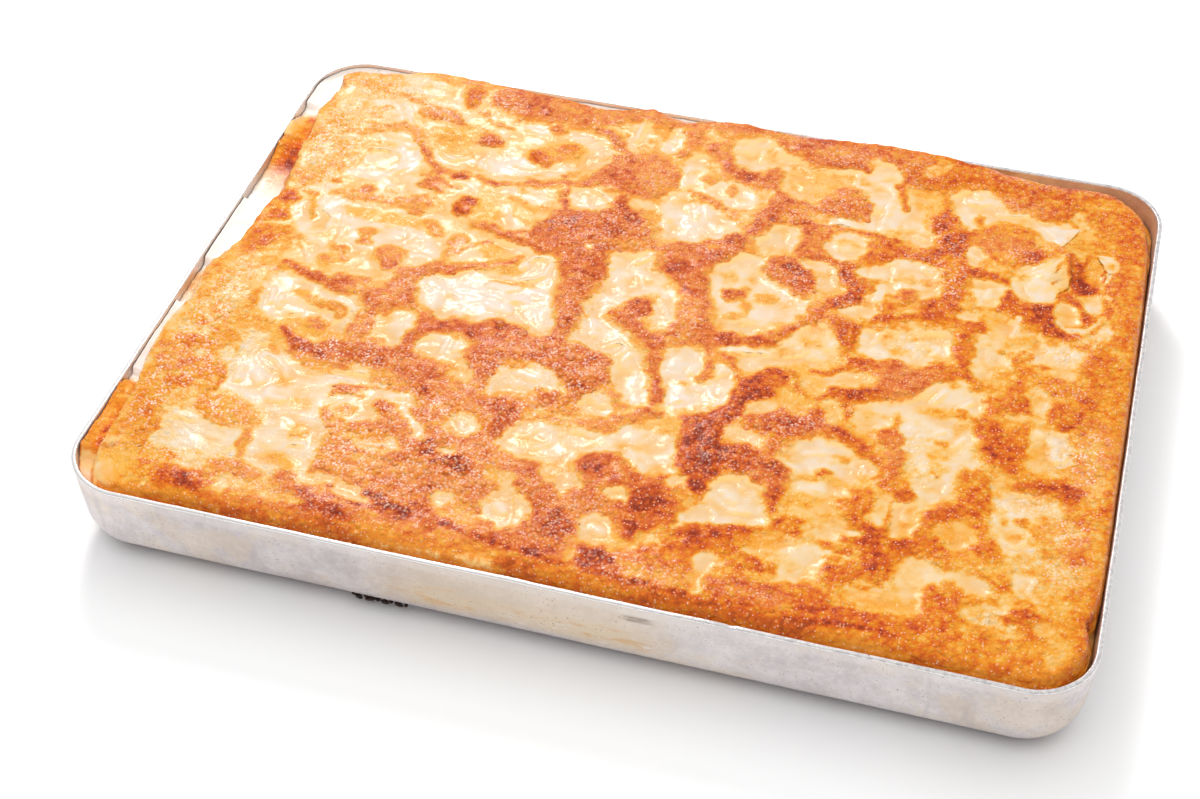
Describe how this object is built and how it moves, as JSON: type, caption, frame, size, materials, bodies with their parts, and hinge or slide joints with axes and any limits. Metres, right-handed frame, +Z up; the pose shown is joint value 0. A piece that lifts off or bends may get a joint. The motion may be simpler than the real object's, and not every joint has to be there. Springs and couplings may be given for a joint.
{
  "type": "su borek in its tray",
  "caption": "Whole tray of baked layered yufka and cheese pastry, browned and blistered on top, uncut, in a rectangular pressed aluminium oven tray.",
  "frame": {"origin": "on the underside of the tray, at the middle of its footprint", "axes": "+X along the long side, to the right; +Y across the tray, to the back; +Z up"},
  "size_m": [0.4, 0.3, 0.0467],
  "materials": {
    "tray_metal": "worn satin aluminium, mottled and lightly stained",
    "baked_crust": "glossy baked crust, pale cream pools between orange-brown blistered ridges"
  },
  "bodies": {
    "root": {"tray": "tray_metal", "borek": "baked_crust"}
  },
  "joints": []
}
